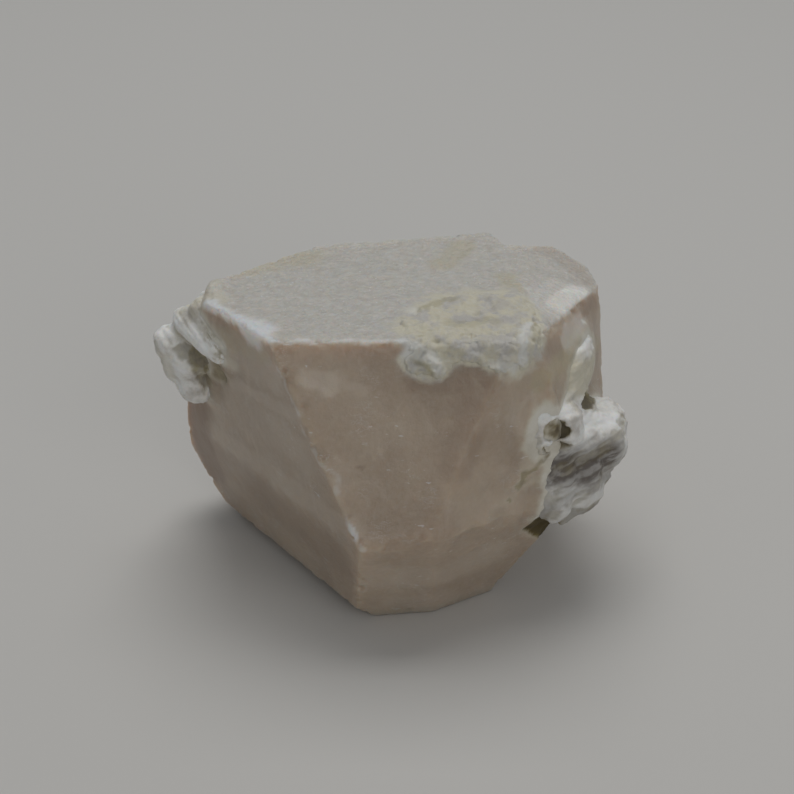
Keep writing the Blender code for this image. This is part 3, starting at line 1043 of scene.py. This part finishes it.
def setting(label, words, default):
    """A length that a user may change."""
    return FloatProperty(
        name=label, description=words, default=default, unit="LENGTH", precision=5
    )


def tint(label, words, default):
    """A colour that a user may change."""
    return FloatVectorProperty(
        name=label, description=words, default=default, size=3, subtype="COLOR", min=0.0, max=1.0
    )


class CrystalSettings(bpy.types.PropertyGroup):
    """Sizes and colours of the crystal."""

    cell: setting("Cell", "Size of the crystal's mesh cells", 0.23 * MM)
    edge_wear: setting("Edge wear", "Width of the worn edges", 0.45 * MM)
    fillet: setting("Fillet", "How far the crystal swells beside the matrix", 0.45 * MM)
    chip: setting("Chips", "Depth of the nicks along the edges", 0.30 * MM)
    ledge: setting("Ledges", "Height of the broken ledges on the back", 0.35 * MM)
    body: tint("Body", "Milky body of the crystal", (0.50, 0.405, 0.31))
    deep: tint("Deep", "Darker clouds in the body", (0.42, 0.33, 0.25))
    # Paler veils, and also the painted light on the upper left face.
    veil_and_painted_light: tint("Veil", "Paler veils in the body", (0.62, 0.54, 0.45))
    # Brown patches, and also the painted shade of the left end, the lower left faces and the pits.
    shade: tint("Shade", "Brown patches in the body", (0.30, 0.21, 0.15))
    # Colour of the painted highlights on the bright facets.
    gleam: tint("Gleam", "Bright cleaved facets", (0.84, 0.82, 0.78))
    frost: tint("Frost", "Etched top", (0.60, 0.58, 0.54))
    frost_low: tint("Frost low", "Darker grain of the etched top", (0.50, 0.48, 0.44))
    # Also the colour of the painted glints on the body and the frosted top.
    bruise_and_glint: tint("Bruise", "Bruised and chipped edges", (0.74, 0.76, 0.78))
    stain: tint("Stain", "Yellow stains on the top", (0.50, 0.45, 0.30))


class MatrixSettings(bpy.types.PropertyGroup):
    """Sizes and colours of the matrix."""

    cell: setting("Cell", "Size of the matrix's mesh cells", 0.14 * MM)
    folds: setting("Folds", "Height of the matrix's folds", 0.22 * MM)
    fibres: setting("Fibres", "Height of the matrix's fibres", 0.07 * MM)
    white: tint("White", "Clean matrix", (0.90, 0.90, 0.88))
    grey: tint("Grey", "Shadowy matrix", (0.56, 0.53, 0.49))
    cream: tint("Cream", "Waxy cream matrix", (0.62, 0.58, 0.46))
    # Colour of the painted shade on the right lump.
    painted_matrix_shade: tint("Mauve", "Mauve-grey matrix", (0.155, 0.135, 0.12))
    # Also the painted light on the right lump's shoulder and lower bulge.
    snow_and_painted_light: tint("Snow", "Whitest matrix", (0.95, 0.95, 0.93))
    yellow: tint("Yellow", "Yellowish matrix", (0.62, 0.58, 0.44))
    clay: tint("Clay", "Brown clay in the hollows", (0.13, 0.09, 0.025))
    # Real clay, darkened further by painted shade.
    deep_clay_and_shade: tint("Dark", "Clay at the bottom of the hollows", (0.055, 0.038, 0.012))
    olive: tint("Olive", "Olive clay in the seams", (0.26, 0.21, 0.07))


class CrustSettings(bpy.types.PropertyGroup):
    """Sizes and colours of the crust."""

    stand: setting("Stand", "How far the crust stands above the crystal", 0.20 * MM)
    grain: setting("Grain", "Height of the crust's grains", 0.10 * MM)
    yellow: tint("Yellow", "Pale yellow grains", (0.63, 0.59, 0.46))
    grey: tint("Grey", "Grey spots", (0.51, 0.49, 0.46))
    white: tint("White", "White grains", (0.72, 0.72, 0.69))
    olive: tint("Olive", "Olive rims", (0.34, 0.30, 0.16))


class StageSettings(bpy.types.PropertyGroup):
    """Floor and light."""

    floor: tint("Floor", "Floor under the stone", (0.62, 0.61, 0.59))
    key: FloatProperty(name="Key light", description="Light from above", default=0.82, unit="POWER")
    fill: FloatProperty(
        name="Fill light", description="Light from the front", default=0.25, unit="POWER"
    )
    sky: FloatProperty(name="Sky", description="Even light from all round", default=0.22)


class TOPAZ_OT_crystal(bpy.types.Operator):
    """Model the milky crystal"""

    bl_idname = "topaz.crystal"
    bl_label = "Crystal"

    def execute(self, context):
        settings = context.scene.topaz_crystal
        bm = crystal_block()
        bmesh.ops.bevel(
            bm, geom=bm.edges[:], offset=settings.edge_wear, segments=2, profile=0.5,
            affect="EDGES", material=-1, clamp_overlap=True,
        )
        piece = link_piece("crystal", bm)
        cut_with(piece, back_step())
        for centre, radius in CHIPS + RIGHT_PITS:
            cut_with(piece, ball(centre, radius))
        remesh(piece, settings.cell)
        sculpt_crystal(piece, settings)
        material = topaz_finish(settings, context.scene.topaz_matrix, context.scene.topaz_crust)
        seat_piece(piece, "topaz_crystal", material)
        return {"FINISHED"}


class TOPAZ_OT_matrix(bpy.types.Operator):
    """Model the white matrix on both ends of the crystal"""

    bl_idname = "topaz.matrix"
    bl_label = "Matrix"

    def execute(self, context):
        settings = context.scene.topaz_matrix
        material = matrix_finish(settings)
        lumps = (
            ("left", LEFT_LOBES, LEFT_STRANDS, (), LEFT_POCKETS, LEFT_FIBRES),
            ("right", RIGHT_LOBES, RIGHT_STRANDS, RIGHT_PITS, RIGHT_POCKETS, RIGHT_FIBRES),
        )
        for side, lobes, strands, pits, pockets, direction in lumps:
            piece = link_piece("rock_" + side, add_lobes(with_strands(lobes, strands)))
            remesh(piece, settings.cell)
            for centre, radius in pits:
                cut_with(piece, ball(centre, radius))
            remesh(piece, settings.cell)
            soften(piece, MATRIX_RELAX)
            sculpt_matrix(piece, pockets, direction, settings)
            seat_piece(piece, "matrix_" + side, material)
        return {"FINISHED"}


class TOPAZ_OT_crust(bpy.types.Operator):
    """Model the crust on the front ridge"""

    bl_idname = "topaz.crust"
    bl_label = "Ridge crust"

    def execute(self, context):
        settings = context.scene.topaz_crust
        piece = crust_skin(bpy.data.objects["crystal"])
        sculpt_crust(piece, settings)
        seat_piece(piece, "ridge_crust", crust_finish(settings))
        return {"FINISHED"}


def add_area_light(name, layout, power):
    """A square soft light that looks at the stone."""
    place, side, colour = layout
    light = bpy.data.lights.new(name, "AREA")
    light.shape = "SQUARE"
    light.size = side
    light.energy = power
    light.color = colour
    lamp = bpy.data.objects.new(name, light)
    bpy.context.scene.collection.objects.link(lamp)
    lamp.location = place
    lamp.rotation_euler = (Vector(LIGHT_AIM) - Vector(place)).to_track_quat("-Z", "Y").to_euler()


class TOPAZ_OT_stage(bpy.types.Operator):
    """Set the floor, the lights and the camera"""

    bl_idname = "topaz.stage"
    bl_label = "Stage"

    def execute(self, context):
        settings = context.scene.topaz_stage
        bm = bmesh.new()
        bmesh.ops.create_grid(bm, x_segments=1, y_segments=1, size=FLOOR_HALF)
        floor = link_piece("floor", bm)
        finish = Finish("floor_paint")
        finish.fill(finish.shader, {"Base Color": (*settings.floor, 1.0), "Roughness": 0.9})
        floor.data.materials.append(finish.material)
        add_area_light("key", KEY_LIGHT, settings.key)
        add_area_light("fill", FILL_LIGHT, settings.fill)
        world = bpy.data.worlds.new("studio")
        world.use_nodes = True
        sky = world.node_tree.nodes["Background"]
        sky.inputs["Color"].default_value = SKY_COLOUR
        sky.inputs["Strength"].default_value = settings.sky
        context.scene.world = world
        context.scene.view_settings.view_transform = "Standard"
        camera = bpy.data.objects.new("camera", bpy.data.cameras.new("camera"))
        camera.data.lens = CAMERA_LENS
        camera.data.sensor_width = CAMERA_SENSOR
        camera.data.clip_start = CAMERA_CLIP
        height = math.radians(CAMERA_HEIGHT)
        look = Vector((0.0, math.cos(height), -math.sin(height)))
        camera.location = Vector(CAMERA_TARGET) - look * CAMERA_DISTANCE
        camera.rotation_euler = look.to_track_quat("-Z", "Y").to_euler()
        context.scene.collection.objects.link(camera)
        context.scene.camera = camera
        return {"FINISHED"}


class TOPAZ_PT_panel(bpy.types.Panel):
    """Lists the pieces of the stone"""

    bl_label = "Rough Topaz"
    bl_space_type = "VIEW_3D"
    bl_region_type = "UI"
    bl_category = "Rough Topaz"

    def draw(self, context):
        for operator in OPERATORS:
            self.layout.operator(operator.bl_idname)


OPERATORS = (TOPAZ_OT_crystal, TOPAZ_OT_matrix, TOPAZ_OT_crust, TOPAZ_OT_stage)
SETTINGS = {
    "topaz_crystal": CrystalSettings,
    "topaz_matrix": MatrixSettings,
    "topaz_crust": CrustSettings,
    "topaz_stage": StageSettings,
}


def register():
    """Register the settings, the operators and the panel."""
    for name, group in SETTINGS.items():
        bpy.utils.register_class(group)
        setattr(bpy.types.Scene, name, PointerProperty(type=group))
    for operator in OPERATORS:
        bpy.utils.register_class(operator)
    bpy.utils.register_class(TOPAZ_PT_panel)


def unregister():
    """Undo register."""
    bpy.utils.unregister_class(TOPAZ_PT_panel)
    for operator in reversed(OPERATORS):
        bpy.utils.unregister_class(operator)
    for name, group in SETTINGS.items():
        delattr(bpy.types.Scene, name)
        bpy.utils.unregister_class(group)


def main():
    """Build the stone and its stage."""
    register()
    bpy.ops.topaz.crystal()
    bpy.ops.topaz.matrix()
    bpy.ops.topaz.crust()
    bpy.ops.topaz.stage()


if __name__ == "__main__":
    main()
